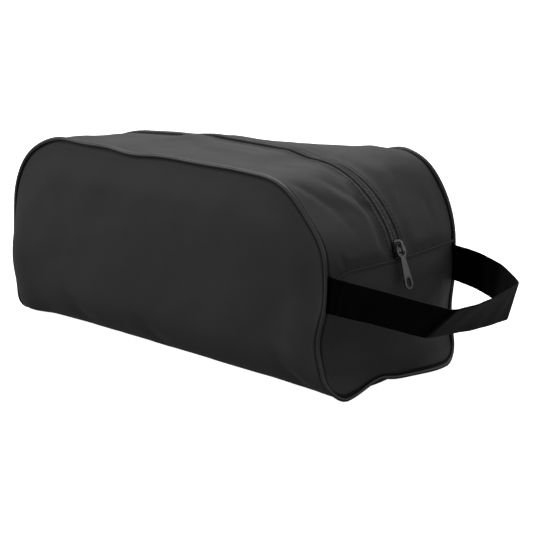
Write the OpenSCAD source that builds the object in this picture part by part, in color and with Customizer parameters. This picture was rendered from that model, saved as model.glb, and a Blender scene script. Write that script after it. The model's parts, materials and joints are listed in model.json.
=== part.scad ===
// Soft zip-top shoe bag. One cloth panel wraps front, base and back; two strips either side of a
// zip make the top and run down both ends; an end panel closes each end below them. One run of
// piping follows the seam all the way round, and a webbing strap is sewn into it at one end.
// Millimetres. The origin is the middle of the base, on the ground. +X points at the strap,
// +Y to the back and +Z up.

/* [Bag] */
// Outside length, from end to end
bag_l = 343; // [300:1:380]
// Outside width, from front to back
bag_w = 148; // [130:1:180]
// Outside height
bag_h = 158; // [145:1:200]
// Outside radius of the top corners along the piping
top_r = 64; // [56:1:68]
// Radius of the flatter curve that the zip takes over the same corners
zip_r = 85; // [84:0.5:86]
// How much further from the end of the bag that curve has its centre
zip_in = 14.5; // [14:0.5:15]
// Outside radius of the bends between the base and the two sides
bend_r = 18; // [14:1:26]
// Thickness of the coated cloth
cloth_t = 0.8; // [0.6:0.1:1.0]

/* [Piping and bindings] */
// Outside diameter of the piping
pipe_d = 3; // [3:0.2:4]
// Diameter of the cord inside the piping
cord_d = 1.8; // [1.4:0.1:1.8]
// Width of the tape that binds the raw edges inside
binding_w = 9; // [6:1:10]
// Thickness of that tape, folded over the edges
binding_t = 1; // [0.7:0.1:1]

/* [Zip] */
// Width of the opening between the two folded cloth edges
window_w = 10.6; // [10.4:0.2:12]
// Width of one half of the zip tape
tape_w = 15; // [12:1:18]
// Thickness of the zip tape
tape_t = 0.5; // [0.4:0.05:0.5]
// Width of one row of coil
coil_w = 2.4; // [2.0:0.1:2.6]
// Height of a row of coil above its tape
coil_h = 2.0; // [1.8:0.1:2.0]
// Diameter of the cord that runs inside a row of coil
coil_cord_d = 0.9; // [0.7:0.1:1.0]
// Length of the slider along the zip
slider_l = 11.5; // [10:0.5:12]
// Width of the slider across its wide end
slider_w = 9.6; // [9.4:0.1:9.8]
// Where the closed slider stands on the corner, in degrees along the curve from the end seam
slider_from = 5.4; // [5.4:0.2:20]

/* [Pull tab] */
// Length of the pull from its bar to its tip
pull_l = 33; // [28:1:36]
// Width of the pull at its tip
pull_w = 8.6; // [8:0.2:9.4]
// Thickness of the pull
pull_t = 1.3; // [1.0:0.1:1.3]
// How far the hanging pull tips in towards the slider's plate, in degrees
pull_tip = 2.5; // [0:0.5:2.5]

/* [Strap] */
// Width of the webbing
strap_w = 28; // [20:1:30]
// Thickness of the webbing
strap_t = 1.2; // [0.8:0.1:1.2]
// Reach of the loop's front corner past the end of the bag
reach_front = 104; // [90:2:120]
// Reach of the loop's back corner past the end of the bag
reach_back = 92; // [80:2:110]
// How far behind the zip the back corner is
corner_back = 28; // [20:1:40]
// How far below level the loop droops, in degrees
strap_droop = 3; // [0:1:12]

/* [Hidden] */
$fn = 64;

cloth_colour = "#2e2e2f";
piping_colour = "#1d1d1e";
binding_colour = "#191919";
zip_colour = "#26262a";
metal_colour = "#3c3d40";
strap_colour = "#0f0f10";

gap = 0.1; // between neighbouring pieces of cloth
fit_gap = 0.02; // between pieces sewn face to face
pipe_r = pipe_d / 2;

// The piping's centre line: half its length and width, and its radius round a top corner.
line_x = bag_l / 2 - pipe_r;
line_y = bag_w / 2 - pipe_r;
line_r = top_r - pipe_r;
line_low = pipe_r + 0.2; // height of its lowest stretches, just off the ground
low_r = bend_r - pipe_r; // its radius round a bottom corner

// Centre of a top corner along the piping. The seam between an end panel and the top strips is
// level with it.
corner_x = bag_l / 2 - top_r;
corner_z = bag_h - top_r;
side_corner = [corner_x, corner_z];

// Centre of the zip's flatter curve. It meets the top without a step, and reaches the end seam at
// an angle, where the bulging end panel starts.
zip_x = corner_x - zip_in;
zip_z = corner_z + line_r - zip_r;
zip_corner = [zip_x, zip_z];
zip_low = asin((corner_z - zip_z) / zip_r); // the angle at which it reaches the seam
slider_at = zip_low + slider_from;

// Cloth edges stand clear of the piping by this much, measured from its centre line.
edge = pipe_r + gap;

// How far an end panel bulges in its middle, and the radius of that bulge.
end_half = line_y - edge;
bulge = zip_x + zip_r * cos(zip_low) - line_x;
bulge_r = (pow(end_half, 2) + pow(bulge, 2)) / (2 * bulge);

// Heights of the zip's layers, measured outwards from the centre of its curve.
tape_out = zip_r - cloth_t / 2 - 3 * gap;
coil_in = tape_out + fit_gap;
coil_out = coil_in + coil_h;
split = 0.7; // half the slot between the two rows, where the slider's post runs
stop_from = zip_low + 0.2; // the angles between which the stops lie on the corner
stop_to = stop_from + 1;

// The slider. Its two plates stand off the curved zip by its rise over their length and a bit more.
plate_t = 1.1;
run_gap = 0.33;
curve_rise = pow(slider_l / 2, 2) / (2 * tape_out);
top_plate_in = coil_out + run_gap;
top_plate_out = top_plate_in + plate_t;
low_plate_out = tape_out - tape_t - curve_rise - run_gap;
bridge_l = 8.8;
bridge_w = 2.4;
bridge_h = 3.9;
bridge_t = 1.2;
bridge_edge_r = 1.3;
bar_w = 1.6; // width of the pull's ring, so also of the bar under the bridge
bar_out = 1.2; // height of the bar's middle above the top plate
bar_up = 1.9; // height of the bar above the slider's middle

// The strap. Its loop turns about a line across both legs, just outside the bag. Each leg ends in
// a half disc round that line, so that it can turn close to the seam.
strap_y = line_y - edge - strap_t / 2; // centre of the webbing where it enters the seam
strap_z = corner_z - strap_w / 2 - 1;
fold_out = strap_w / 2 + 0.3; // distance from the end of the bag to the line it turns about
fold_x = bag_l / 2 + fold_out;
root_in = 10; // how far the sewn ends reach inside
root_out = 4; // how far they stand out
swing_up = 80; // the loop swings this far up, in degrees from where it hangs
swing_down = 42; // and this far down
// The loop's middle line from above, as it would be with sharp bends, and the radius of each bend.
loop_line = [
    [0, -strap_y],
    [reach_front - fold_out, -strap_y],
    [reach_back - fold_out, corner_back],
    [reach_back / 2 - fold_out, strap_y],
    [0, strap_y]
];
loop_r = [0, 9, 7, 24, 0];

// Sweeps a profile over the top of the bag, from one end seam to the other. In the profile, x is
// the distance out from the centre of a corner and y the place across the bag. The sweep starts
// and ends at an angle of from.
module over_top(centre, from) {
    translate([centre.x, 0, centre.y]) rotate([0, -90, 0]) linear_extrude(2 * centre.x) children();
    for (side = [0, 1]) mirror([side, 0, 0]) round_corner(centre, from, 90) children();
}

// Sweeps the same kind of profile round part of the right-hand top corner only.
module round_corner(centre, from, to) {
    translate([centre.x, 0, centre.y]) mirror([0, 1, 0]) rotate([90, 0, 0])
        rotate([0, 0, to]) rotate_extrude(angle = from - to) children();
}

// A rectangle in that profile, from a to b outwards and from c to d across.
module layer(a, b, c, d) {
    translate([a, min(c, d)]) square([b - a, abs(d - c)]);
}

// Puts its children on the zip where it rounds the right-hand corner. There, x is outwards, y
// across and z along the zip.
module on_zip(degrees) {
    translate([zip_x, 0, zip_z]) rotate([0, -degrees, 0]) children();
}

// A rounded slab standing on z = 0, seen along the bag. Only its two lower corners are round.
module tub(half_w, low, high, r) {
    translate([-half_w, low + r]) square([2 * half_w, high - low - r]);
    translate([-half_w + r, low]) square([2 * (half_w - r), high - low]);
    for (s = [-1, 1]) translate([s * (half_w - r), low + r]) circle(r);
}

// The body panel's flat outline from the front, pulled in from the piping's centre line by inset.
module side_outline(inset) {
    r = line_r - inset;
    translate([-line_x + inset, -bag_h]) square([2 * (line_x - inset), bag_h + corner_z]);
    translate([-corner_x, 0]) square([2 * corner_x, corner_z + r]);
    for (s = [-1, 1]) translate([s * corner_x, corner_z]) circle(r);
}

// A U of cloth that lies between depth_out and depth_in below the body's outer face.
module wrap(depth_out, depth_in, length) {
    half = line_y + cloth_t / 2;
    translate([-length / 2, 0, 0]) rotate([90, 0, 90]) linear_extrude(length) difference() {
        tub(half - depth_out, depth_out, bag_h, bend_r - depth_out);
        tub(half - depth_in, depth_in, bag_h + 1, bend_r - depth_in);
    }
}

module across(half) {
    rotate([90, 0, 0]) translate([0, 0, -half]) linear_extrude(2 * half) children();
}

module body_panel() {
    color(cloth_colour) intersection() {
        wrap(0, cloth_t, bag_l);
        across(bag_w) side_outline(edge);
    }
}

// The raw edges inside, bound in tape that lies against the body panel all round its seam.
module seam_binding() {
    color(binding_colour) difference() {
        intersection() {
            wrap(cloth_t + gap, cloth_t + gap + binding_t, bag_l);
            across(bag_w) side_outline(edge + gap);
        }
        across(bag_w) side_outline(edge + gap + binding_w);
    }
}

// An upright shell that bulges out in the middle of the right-hand end, between depth_out and
// depth_in below the end panel's outer face.
module bulging(depth_out, depth_in) {
    r = bulge_r + cloth_t / 2;
    translate([line_x + bulge - bulge_r, 0, 0]) difference() {
        cylinder(h = bag_h, r = r - depth_out, $fn = 1440);
        translate([0, 0, -1]) cylinder(h = bag_h + 2, r = r - depth_in, $fn = 1440);
    }
}

// An end panel, with a notch at each side where the strap passes through the seam.
module end_panel(strap) {
    color(cloth_colour) intersection() {
        translate([line_x - bag_w / 4, 0, 0]) rotate([90, 0, 90]) linear_extrude(bag_w / 2) difference() {
            tub(end_half, line_low + edge, corner_z - 2 * gap, low_r - edge);
            if (strap) for (s = [-1, 1]) translate([s * strap_y, strap_z])
                square([strap_t + 2 * gap, strap_w + 2 * gap], center = true);
        }
        bulging(0, cloth_t);
    }
}

// Where the outer face of the zip tape goes down behind an end panel, clear of the curved panel at
// both its edges.
tail_x = zip_x + sqrt(pow(tape_out, 2) - pow(corner_z - zip_z, 2)) - 3 * gap;

// The tape that binds the seam between an end panel, the top strips and the zip's ends.
module end_binding() {
    half = strap_y - strap_t - gap;
    depth = line_x + bulge + cloth_t / 2 - (tail_x - tape_t - gap);
    color(binding_colour) intersection() {
        bulging(depth, depth + binding_t);
        translate([line_x - bag_w / 4, -half, corner_z - 1 - binding_w])
            cube([bag_w / 2, 2 * half, binding_w]);
    }
}

// A top strip: a sheet that runs from the round corner along the piping to the flatter corner
// along the zip. Its stations go from the right-hand end seam over to the left-hand one.
module top_panel(side) {
    steps = 14; // stations round a corner
    rows = 7; // divisions from the piping to the zip
    stations = 2 * steps + 2;
    y_edge = line_y - edge;
    y_zip = window_w / 2;

    function turn(from, k) = from + (90 - from) * k / steps;
    function ring_point(centre, r, a) = centre + r * [cos(a), sin(a)];

    // A point of the sheet, at station k of a half, row j, and a distance of out from its middle.
    function half_point(k, j, out) = let (
        share = sin(90 * j / rows),
        a = turn(0, k),
        b = turn(zip_low, k),
        outer = ring_point(side_corner, line_r + out, a),
        inner = ring_point(zip_corner, zip_r + out, b),
        p = outer + share * (inner - outer)
    ) [p.x, side * (y_edge + (y_zip - y_edge) * j / rows), p.y];

    function sheet_point(k, j, out) = k <= steps
        ? half_point(k, j, out)
        : let (p = half_point(stations - 1 - k, j, out)) [-p.x, p.y, p.z];

    function index(layer, k, j) = (layer * stations + k) * (rows + 1) + j;

    // Two triangles between four points, turned the other way on the back of the sheet.
    function quad(a, b, c, d, turned) = turned ? [[a, c, b], [a, d, c]] : [[a, b, c], [a, c, d]];

    points = [for (out = [cloth_t / 2, -cloth_t / 2]) for (k = [0:stations - 1]) for (j = [0:rows])
        sheet_point(k, j, out)];
    flip = side > 0;
    faces = concat(
        [for (k = [0:stations - 2]) for (j = [0:rows - 1]) each concat(
            quad(index(0, k, j), index(0, k + 1, j), index(0, k + 1, j + 1), index(0, k, j + 1), flip),
            quad(index(1, k, j), index(1, k + 1, j), index(1, k + 1, j + 1), index(1, k, j + 1), !flip)
        )],
        [for (k = [0:stations - 2]) each concat(
            quad(index(0, k, 0), index(1, k, 0), index(1, k + 1, 0), index(0, k + 1, 0), flip),
            quad(index(0, k, rows), index(1, k, rows), index(1, k + 1, rows), index(0, k + 1, rows), !flip)
        )],
        [for (j = [0:rows - 1]) each concat(
            quad(index(0, 0, j), index(1, 0, j), index(1, 0, j + 1), index(0, 0, j + 1), !flip),
            quad(index(0, stations - 1, j), index(1, stations - 1, j),
                index(1, stations - 1, j + 1), index(0, stations - 1, j + 1), flip)
        )]
    );
    color(cloth_colour) polyhedron(points, faces);
}

// The closed line of piping, as a round or hollow profile of radius r_out and r_in.
module piping_line(r_out, r_in) {
    module ring() {
        difference() {
            circle(r_out);
            if (r_in > 0) circle(r_in);
        }
    }
    leg_low = line_low + low_r;
    for (back = [0, 1]) mirror([0, back, 0]) {
        over_top(side_corner, 0) translate([line_r, -line_y]) ring();
        for (left = [0, 1]) mirror([left, 0, 0]) {
            translate([line_x, -line_y, leg_low]) linear_extrude(corner_z - leg_low) ring();
            translate([line_x, -line_y + low_r, leg_low]) rotate([0, 90, 0]) rotate([0, 0, -90])
                rotate_extrude(angle = 90) translate([low_r, 0]) ring();
        }
    }
    for (left = [0, 1]) mirror([left, 0, 0]) translate([line_x, 0, line_low]) rotate([90, 0, 0])
        translate([0, 0, low_r - line_y]) linear_extrude(2 * (line_y - low_r)) ring();
}

module piping_cover() {
    color(piping_colour) piping_line(pipe_r, cord_d / 2 + gap / 2);
}

module piping_cord() {
    color("#8a8a86") piping_line(cord_d / 2, 0);
}

module zip_tape(side) {
    tail = 8; // sewn down behind each end panel
    lap = 0.3; // how far the tail reaches up above the seam, into the curve
    lead = 0.05; // how many degrees above the seam the curve starts, clear of the end panel
    color(zip_colour) {
        over_top(zip_corner, zip_low + lead)
            layer(tape_out - tape_t, tape_out, side * split, side * (split + tape_w));
        for (left = [0, 1]) mirror([left, 0, 0]) translate([0, 0, corner_z - tail])
            linear_extrude(tail + lap)
                layer(tail_x - tape_t, tail_x, side * split, side * (split + tape_w));
    }
}

// The section of one row of coil, and of the cord that runs inside it.
module coil_section(side) {
    layer(coil_in, coil_out, side * split, side * (split + coil_w));
}

module cord_section(side, width) {
    translate([coil_in + coil_h / 2, side * (split + coil_w / 2)]) square(width, center = true);
}

module zip_coil(side) {
    color(zip_colour) over_top(zip_corner, stop_to) difference() {
        coil_section(side);
        cord_section(side, coil_cord_d + gap);
    }
}

module coil_cord(side) {
    color("#55555a") over_top(zip_corner, stop_to) cord_section(side, coil_cord_d);
}

module zip_top_stops() {
    for (side = [-1, 1]) color(metal_colour)
        round_corner(zip_corner, stop_from, stop_to - 0.1) coil_section(side);
}

module zip_bottom_stop() {
    color(metal_colour) mirror([1, 0, 0]) round_corner(zip_corner, stop_from, stop_to - 0.1)
        layer(coil_in, coil_out, -split - coil_w, split + coil_w);
}

// One plate of the slider, seen from outside: a wide end below, a narrower one above, and round
// corners.
module slider_outline(w) {
    tip_w = 0.78 * w;
    r = 1.6;
    hull() for (s = [-1, 1]) {
        translate([s * (w / 2 - r), r - slider_l / 2]) circle(r, $fn = 32);
        translate([s * (tip_w / 2 - r), slider_l / 2 - r]) circle(r, $fn = 32);
    }
}

// Stands a flat outline up on the corner: its x runs across, its y along the zip, and it is cut
// from a to b outwards.
module plate(a, b) {
    translate([a, 0, 0]) rotate([90, 0, 90]) linear_extrude(b - a) children();
}

module slider_body() {
    low_plate_w = slider_w - 0.6;
    wall_t = 0.9;
    wall_l = 4.4;
    wall_in = tape_out + 0.45;
    post_w = 0.9;
    post_l = 3;
    start = -slider_l / 2; // the wide end
    color(metal_colour) on_zip(slider_at) {
        plate(low_plate_out - plate_t, low_plate_out) slider_outline(low_plate_w);
        plate(top_plate_in, top_plate_out) slider_outline(slider_w);
        // the guide walls under the top plate, clear of the tape
        for (s = [-1, 1]) translate([wall_in, s * (slider_w - wall_t) / 2 - wall_t / 2, start + 1.6])
            cube([top_plate_in - wall_in + gap, wall_t, wall_l]);
        // the post that parts the two rows
        translate([low_plate_out - gap, -post_w / 2, start + 0.75])
            cube([top_plate_in - low_plate_out + 2 * gap, post_w, post_l]);
    }
}

// The arch on the slider that holds the pull.
module slider_bridge() {
    module arch(length, height, r) {
        translate([0, -length / 2]) square([height - r, length]);
        translate([0, r - length / 2]) square([height, length - 2 * r]);
        for (s = [-1, 1]) translate([height - r, s * (length / 2 - r)]) circle(r);
    }
    color(metal_colour) on_zip(slider_at) translate([top_plate_out, bridge_w / 2, 0])
        rotate([90, 0, 0]) linear_extrude(bridge_w) difference() {
            arch(bridge_l, bridge_h, bridge_edge_r);
            translate([-1, 0]) arch(bridge_l - 2 * bridge_t, bridge_h - bridge_t + 1, 0.6);
        }
}

// Puts its children at the pull's bar, turned so that z runs up the hanging pull.
module at_pull() {
    on_zip(slider_at) translate([top_plate_out + bar_out, 0, bar_up]) rotate([0, pull_tip, 0]) children();
}

// A flat oval of width w that reaches from low to high.
module oval(w, low, high) {
    translate([-w / 2, low + w / 2]) square([w, high - low - w]);
    for (y = [low + w / 2, high - w / 2]) translate([0, y]) circle(d = w);
}

// The pull: a ring through the bridge, a neck, and a tab with a hole near its round tip.
module pull_outline() {
    ring_w = 9.8;
    ring_l = 10.5;
    ring_low = bar_w / 2 - ring_l;
    neck_w = 5;
    neck_y = ring_low - 1.6;
    hole_w = 4.6;
    hole_l = 7.2;
    hole_low = 1.6 - pull_l;
    difference() {
        union() {
            oval(ring_w, ring_low, bar_w / 2);
            translate([-neck_w / 2, neck_y]) square([neck_w, 4]);
            hull() {
                translate([-neck_w / 2, neck_y]) square([neck_w, 1]);
                translate([0, pull_w / 2 - pull_l]) circle(d = pull_w, $fn = 48);
            }
        }
        oval(ring_w - 2 * bar_w, ring_low + bar_w, -bar_w / 2);
        oval(hole_w, hole_low, hole_low + hole_l);
    }
}

module pull_tab() {
    color(metal_colour) at_pull() plate(-pull_t / 2, pull_t / 2) pull_outline();
}

// The strap's two sewn ends: they stay with the bag, and reach in through the seam.
module strap_ends() {
    for (s = [-1, 1]) color(strap_colour) difference() {
        translate([bag_l / 2 - root_in, s * strap_y - strap_t / 2, strap_z - strap_w / 2])
            cube([root_in + root_out, strap_t, strap_w]);
        // room for the loop's leg at both ends of its swing
        translate([fold_x, s * strap_y, strap_z]) rotate([90, 0, 0])
            linear_extrude(2 * strap_t, center = true)
            for (a = [swing_up - strap_droop, -swing_down - strap_droop]) hull() {
                circle(strap_w / 2 + 2 * gap);
                translate(strap_w * [cos(a), sin(a)]) circle(strap_w / 2 + 2 * gap);
            }
    }
}

function heading(i) = let (d = loop_line[i + 1] - loop_line[i]) atan2(d.y, d.x);

// The points of bend i of the loop, at a distance of away outside its middle line.
function bend_points(i, away) = let (
    from = heading(i - 1),
    turn = heading(i) - from,
    r = loop_r[i],
    start = loop_line[i] - r * tan(turn / 2) * [cos(from), sin(from)],
    centre = start + r * [-sin(from), cos(from)],
    steps = ceil(turn / 6)
) [for (k = [0:steps]) let (a = from - 90 + turn * k / steps) centre + (r + away) * [cos(a), sin(a)]];

// One edge of the loop from above, from its front end to its back end.
function loop_edge(away) = concat(
    [loop_line[0] - [0, away]],
    [for (i = [1:len(loop_line) - 2]) each bend_points(i, away)],
    [loop_line[len(loop_line) - 1] + [0, away]]
);

function backwards(list) = [for (i = [len(list) - 1:-1:0]) list[i]];

// The free loop of webbing, standing on its edge.
module strap_loop() {
    color(strap_colour) translate([fold_x, 0, strap_z]) rotate([0, strap_droop, 0]) {
        translate([0, 0, -strap_w / 2]) linear_extrude(strap_w)
            polygon(concat(loop_edge(strap_t / 2), backwards(loop_edge(-strap_t / 2))));
        for (s = [-1, 1]) translate([0, s * strap_y, 0]) rotate([90, 0, 0])
            cylinder(h = strap_t, r = strap_w / 2, center = true);
    }
}

body_panel();
end_panel(true);  // end_panel_right
mirror([1, 0, 0]) end_panel(false);  // end_panel_left
top_panel(-1);  // top_panel_front
top_panel(1);  // top_panel_back
piping_cover();
piping_cord();
seam_binding();
end_binding();  // end_binding_right
mirror([1, 0, 0]) end_binding();  // end_binding_left
zip_tape(-1);  // zip_tape_front
zip_tape(1);  // zip_tape_back
zip_coil(-1);  // zip_coil_front
zip_coil(1);  // zip_coil_back
coil_cord(-1);  // coil_cord_front
coil_cord(1);  // coil_cord_back
zip_top_stops();
zip_bottom_stop();
slider_body();
slider_bridge();
pull_tab();
strap_ends();
strap_loop();
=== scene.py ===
import json
import math

import bpy
import numpy as np
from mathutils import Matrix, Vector


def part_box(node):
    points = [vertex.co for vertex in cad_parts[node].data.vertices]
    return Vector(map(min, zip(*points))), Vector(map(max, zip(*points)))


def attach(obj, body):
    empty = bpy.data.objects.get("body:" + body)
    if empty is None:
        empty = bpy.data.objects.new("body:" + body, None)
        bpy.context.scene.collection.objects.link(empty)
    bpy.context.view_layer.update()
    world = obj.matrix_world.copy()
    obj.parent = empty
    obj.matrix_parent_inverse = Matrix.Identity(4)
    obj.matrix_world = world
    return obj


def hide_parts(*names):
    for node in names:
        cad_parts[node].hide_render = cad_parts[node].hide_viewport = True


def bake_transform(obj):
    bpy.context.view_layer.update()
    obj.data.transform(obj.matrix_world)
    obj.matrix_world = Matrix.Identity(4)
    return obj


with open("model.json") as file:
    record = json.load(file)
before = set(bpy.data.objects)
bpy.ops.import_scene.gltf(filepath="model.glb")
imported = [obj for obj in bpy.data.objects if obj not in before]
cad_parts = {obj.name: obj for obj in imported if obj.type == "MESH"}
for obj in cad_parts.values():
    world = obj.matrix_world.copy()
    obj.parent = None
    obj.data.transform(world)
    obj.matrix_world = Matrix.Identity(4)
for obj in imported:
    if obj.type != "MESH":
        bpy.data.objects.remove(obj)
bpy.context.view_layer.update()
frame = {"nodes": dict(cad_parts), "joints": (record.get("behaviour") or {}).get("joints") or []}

# Shapes are worked out in millimetres, in the frame's axes, and scaled by MM when a mesh is made.
MM = 0.001


def node_box(node):
    """The lowest and highest corners of a CAD node, in millimetres."""
    low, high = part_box(node)
    return np.array(low) / MM, np.array(high) / MM


# -------- sizes from the frame

pipe_low, pipe_high = node_box("piping_cover")
PIPE_R = 1.5
CORD_R = 0.9  # the cord inside the piping
LINE_X = pipe_high[0] - PIPE_R  # the piping's centre line
LINE_Y = pipe_high[1] - PIPE_R
TOP_Z = pipe_high[2] - PIPE_R
LOW_Z = pipe_low[2] + PIPE_R
SEAM_Z = node_box("end_panel_right")[1][2] + 0.2  # the cross seams
TOP_R = TOP_Z - SEAM_Z  # radius of the two top corners
CORNER_X = LINE_X - TOP_R
END_BEND = 16.5  # radius of the bend at the piping of an end
MID_BEND = 20.0  # radius of the softer bend in the middle of the bag
CLOTH_T = 0.6
MIDDLE = np.array([0, 0, 75.0])  # a point well inside the bag

slider_travel = next(j for j in frame["joints"] if j["name"] == "slider_travel")
ZIP_X, _, ZIP_Z = np.array(slider_travel["pos_m"]) / MM
ZIP_R = TOP_Z - ZIP_Z
ZIP_LOW = math.asin((SEAM_Z - ZIP_Z) / ZIP_R)
WINDOW = 5.3  # from the zip's middle to a folded edge of cloth
FOLD_R = 0.9  # how round that folded edge is
EDGE = WINDOW + FOLD_R
COIL_H = 2.0
COIL_IN = node_box("zip_coil_front")[1][2] - ZIP_Z - COIL_H  # radius of the top of the tape
SEAT = COIL_IN - ZIP_R  # how far the tape's top is past the cloth's curve
TAPE_T = 0.5

CORNER_RUN = ZIP_R * (math.pi / 2 - ZIP_LOW)  # length of the zip round one corner
STRAIGHT_RUN = 2 * ZIP_X
ZIP_RUN = 2 * CORNER_RUN + STRAIGHT_RUN

strap_low, strap_high = node_box("strap_ends")
STRAP_W = strap_high[2] - strap_low[2]
STRAP_T = 1.2

# -------- small maths


def smooth(t):
    """0 below 0, 1 above 1, and a smooth rise between them."""
    t = np.clip(t, 0.0, 1.0)
    return t * t * (3 - 2 * t)


def bump(t, centre, width):
    """1 at the centre, falling away smoothly on both sides over about the width."""
    return np.exp(-(((t - centre) / width) ** 2))


def round_bump(a, b, centre, width):
    """1 at the centre, falling away smoothly in every direction over about the width."""
    return np.exp(-(((a - centre[0]) ** 2 + (b - centre[1]) ** 2) / width**2))


def waves(a, b, seed, scale):
    """A smooth, seeded sum of sine waves over two coordinates, within about -1 to 1."""
    rng = np.random.default_rng(seed)
    total = np.zeros(np.broadcast(a, b).shape)
    weight = 0.0
    for octave in range(3):
        size = scale / 1.7**octave
        for _ in range(5):
            angle, phase = rng.uniform(0, 2 * math.pi, 2)
            reach = size * rng.uniform(0.8, 1.3)
            along = a * math.cos(angle) + b * math.sin(angle)
            total += 0.6**octave * np.sin(2 * math.pi * along / reach + phase)
        weight += 0.6**octave * 2.2
    return total / weight


def crease(p, start, end, width):
    """1 on the line from start to end, falling off sideways over width and towards both ends."""
    start, end = np.array(start, float), np.array(end, float)
    along = end - start
    t = np.clip(((p - start) @ along) / (along @ along), 0, 1)
    away = np.linalg.norm(p - (start + t[..., None] * along), axis=-1)
    return bump(away, 0, width) * np.sin(math.pi * np.clip(t, 0.03, 0.97)) ** 0.7


def unit(v):
    """Vectors, along the last axis, made one long."""
    return v / np.linalg.norm(v, axis=-1, keepdims=True)


def run_along(path):
    """The distance along a path from its first point to each of its points."""
    return np.concatenate([[0], np.cumsum(np.linalg.norm(np.diff(path, axis=0), axis=1))])


def grid_of(a, b):
    """A grid of pairs of two arrays that broadcast together."""
    return np.stack(np.broadcast_arrays(a, b), -1)


def even(a, b, count):
    return np.linspace(a, b, count + 1)


def dense_ends(a, b, count, share=0.13):
    """Numbers from a to b that crowd together towards both ends."""
    t = np.linspace(0, 1, count + 1)
    return a + (b - a) * (t - share * np.sin(2 * math.pi * t))


def dense_start(a, b, count):
    """Numbers from a to b that crowd together towards a."""
    return a + (b - a) * np.linspace(0, 1, count + 1) ** 1.7


def joined(*parts):
    """Runs of numbers end to end, where each ends on the number that the next one starts with."""
    return np.concatenate([p[:-1] for p in parts[:-1]] + [parts[-1]])


# -------- the bag's form

# A place along the top is a number w: 0 to 1 rounds the right-hand corner up from the end seam, 1
# to 2 runs along the top, and 2 to 3 rounds the left-hand corner down to the other end seam.


def over_top(w, centre_x, centre_z, radius, low):
    """x and z of a profile over the top at w, and its outward normal's x and z."""
    w = np.asarray(w, float)
    left = w > 1.5
    u = np.where(left, 3 - w, w)
    angle = low + (math.pi / 2 - low) * np.clip(u, 0, 1)
    beyond = np.clip(u - 1, 0, 0.5) * 2
    side = np.where(left, -1.0, 1.0)
    nx, nz = np.cos(angle), np.sin(angle)
    x = side * (centre_x * (1 - beyond) + radius * nx)
    return x, centre_z + radius * nz, side * nx, nz


def side_profile(w):
    """The profile at the piping."""
    return over_top(w, CORNER_X, SEAM_Z, TOP_R, 0.0)


def zip_profile(w):
    """The profile at the zip, whose corners have a larger radius."""
    return over_top(w, ZIP_X, ZIP_Z, ZIP_R, ZIP_LOW)


def zip_share(y):
    """How far the top follows the zip's curve at y: 1 at the zip and 0 at the piping."""
    away = np.clip((np.abs(y) - WINDOW) / (LINE_Y - WINDOW), 0, 1)
    return np.cos(away * math.pi / 2)


def top_form(w, y):
    """Points of the top cloth at place w and distance y from the zip."""
    share = zip_share(y)
    side_x, side_z, _, _ = side_profile(w)
    zip_x, zip_z, _, _ = zip_profile(w)
    x = side_x + share * (zip_x - side_x)
    z = side_z + share * (zip_z - side_z)
    return np.stack(np.broadcast_arrays(x, y + 0 * x, z), -1)


def body_form(w, g):
    """Points of the body panel. g runs 0-1 down the front, 1-2 round the front bend, 2-3 over the
    base, 3-4 round the back bend and 4-5 up the back."""
    x, z_top, _, _ = side_profile(w)
    x, z_top, g = np.broadcast_arrays(x, z_top, g)
    back = g > 2.5
    k = np.where(back, 5 - g, g)
    r = END_BEND + (MID_BEND - END_BEND) * smooth((LINE_X - np.abs(x)) / 60)
    angle = np.clip(k - 1, 0, 1) * math.pi / 2
    down = np.clip(k, 0, 1)
    z_bend = LOW_Z + r
    z = np.where(k < 1, z_top + (z_bend - z_top) * down, z_bend - r * np.sin(angle))
    inward = np.clip(k - 2, 0, 0.5) * 2
    y = (LINE_Y - r + r * np.cos(angle)) * (1 - inward)
    return np.stack([x, np.where(back, y, -y), z], -1)


def body_inset(x, z):
    """How far a point on the front or back is from the piping's line, along x and z."""
    corner = TOP_R - np.hypot(np.maximum(np.abs(x) - CORNER_X, 0), z - SEAM_Z)
    return np.where(z > SEAM_Z, corner, LINE_X - np.abs(x))


def end_foot(y):
    """Height of the bottom edge of an end panel at y."""
    over = np.clip(np.abs(y) - (LINE_Y - END_BEND), 0, END_BEND)
    return LOW_Z + END_BEND - np.sqrt(END_BEND**2 - over**2)


def end_form(y, q, side):
    """Points of an end panel. q runs from 0 at the cross seam to 1 at the bottom edge."""
    y, q = np.broadcast_arrays(y, q)
    z = SEAM_Z + (end_foot(y) - SEAM_Z) * q
    bulge = ZIP_X + ZIP_R * math.cos(ZIP_LOW) - LINE_X
    x = LINE_X + bulge * zip_share(y) * (1 - q**2)
    return np.stack([side * x, y, z], -1)


# -------- how the soft bag droops


def drape(p):
    """Moves points of the ideal form to where the soft bag sags, pulls in and flares out. It does
    next to nothing over the right-hand corner near the zip, where the slider runs."""
    x, y, z = p[..., 0], p[..., 1], p[..., 2]
    dx, dz = np.zeros_like(x), np.zeros_like(x)
    front = smooth((-y - 15) / 50)
    back = smooth((y - 4) / 66)
    high = smooth((z - 95) / 55)
    sag_top(dz, x, y, z, front, back, high)
    round_corners(dx, dz, x, z, front, back)
    draw_ends(dx, dz, x, y, z)
    return p + np.stack([dx, 0 * dx, dz], -1)


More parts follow.
